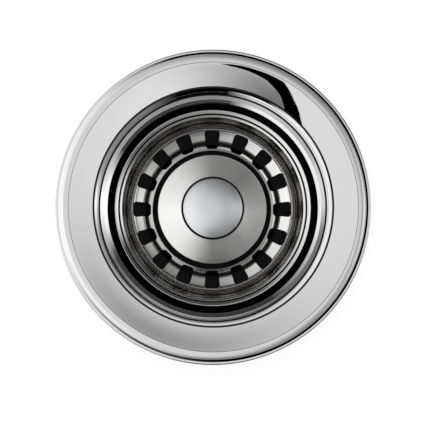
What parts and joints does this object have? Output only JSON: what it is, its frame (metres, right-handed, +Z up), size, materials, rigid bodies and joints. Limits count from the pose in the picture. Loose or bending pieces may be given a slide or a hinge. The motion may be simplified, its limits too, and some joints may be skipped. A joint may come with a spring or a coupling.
{
  "type": "sink strainer",
  "caption": "Round chromed kitchen sink drain with a wide flange, a lift-out slotted basket with a centre knob, a rubber stopper, a lock nut and a tailpiece nut.",
  "frame": {"origin": "on the drain's axis, at the level of the sink's surface where the flange rests", "axes": "+Z up along the drain's axis, out of the sink; +X to the right and +Y away in the picture's view from above"},
  "size_m": [0.114, 0.114, 0.0696],
  "materials": {
    "chromed_brass": "polished chrome plate",
    "polished_stainless": "polished",
    "spring_steel": "drawn wire and stamped strip",
    "die_cast_zinc": "tumbled die casting",
    "black_rubber": "moulded matt",
    "fibre_board": "pressed fibre",
    "white_polyethylene": "moulded waxy",
    "white_nylon": "moulded"
  },
  "bodies": {
    "drain_body": {"strainer_body": "chromed_brass", "outlet_cross": "polished_stainless", "catch_ring": "spring_steel", "flange_gasket": "black_rubber"},
    "basket": {"basket_cup": "polished_stainless", "hub_cover": "polished_stainless", "cover_seal": "black_rubber", "thrust_washer": "white_nylon", "post_bush": "white_nylon", "post_oring": "black_rubber", "stopper_seal": "black_rubber", "backing_washer": "polished_stainless"},
    "knob_and_post": {"knob": "chromed_brass", "post": "polished_stainless", "retaining_clip": "spring_steel"},
    "clamp_stack": {"sink_gasket": "black_rubber", "friction_washer": "fibre_board"},
    "lock_nut": {"lock_nut": "die_cast_zinc"},
    "tail_seal": {"tail_washer": "white_polyethylene"},
    "coupling_nut": {"coupling_nut": "chromed_brass"}
  },
  "joints": [
    {"name": "basket_lift", "type": "slide", "parent": "drain_body", "child": "basket", "axis": [0, 0, 1], "range_m": [-0.0048, 0.07], "deforming": ["catch_ring"]},
    {"name": "knob_turn", "type": "hinge", "parent": "basket", "child": "knob_and_post", "pos_m": [0, 0, -0.02], "axis": [0, 0, 1], "continuous": true},
    {"name": "clamp_drop", "type": "slide", "parent": "drain_body", "child": "clamp_stack", "axis": [0, 0, -1], "range_m": [0, 0.0092]},
    {"name": "lock_nut_turn", "type": "hinge", "parent": "clamp_stack", "child": "lock_nut", "pos_m": [0, 0, -0.01], "axis": [0, 0, -1], "range_deg": [0, 1620]},
    {"name": "tail_seal_drop", "type": "slide", "parent": "drain_body", "child": "tail_seal", "axis": [0, 0, -1], "range_m": [0, 0.01124]},
    {"name": "coupling_turn", "type": "hinge", "parent": "tail_seal", "child": "coupling_nut", "pos_m": [0, 0, -0.057], "axis": [0, 0, -1], "range_deg": [0, 1800]}
  ],
  "couplings": [
    {"joint": "clamp_drop", "follows": "lock_nut_turn", "m_per_rad": 0.00031831},
    {"joint": "tail_seal_drop", "follows": "coupling_turn", "m_per_rad": 0.00035152}
  ]
}
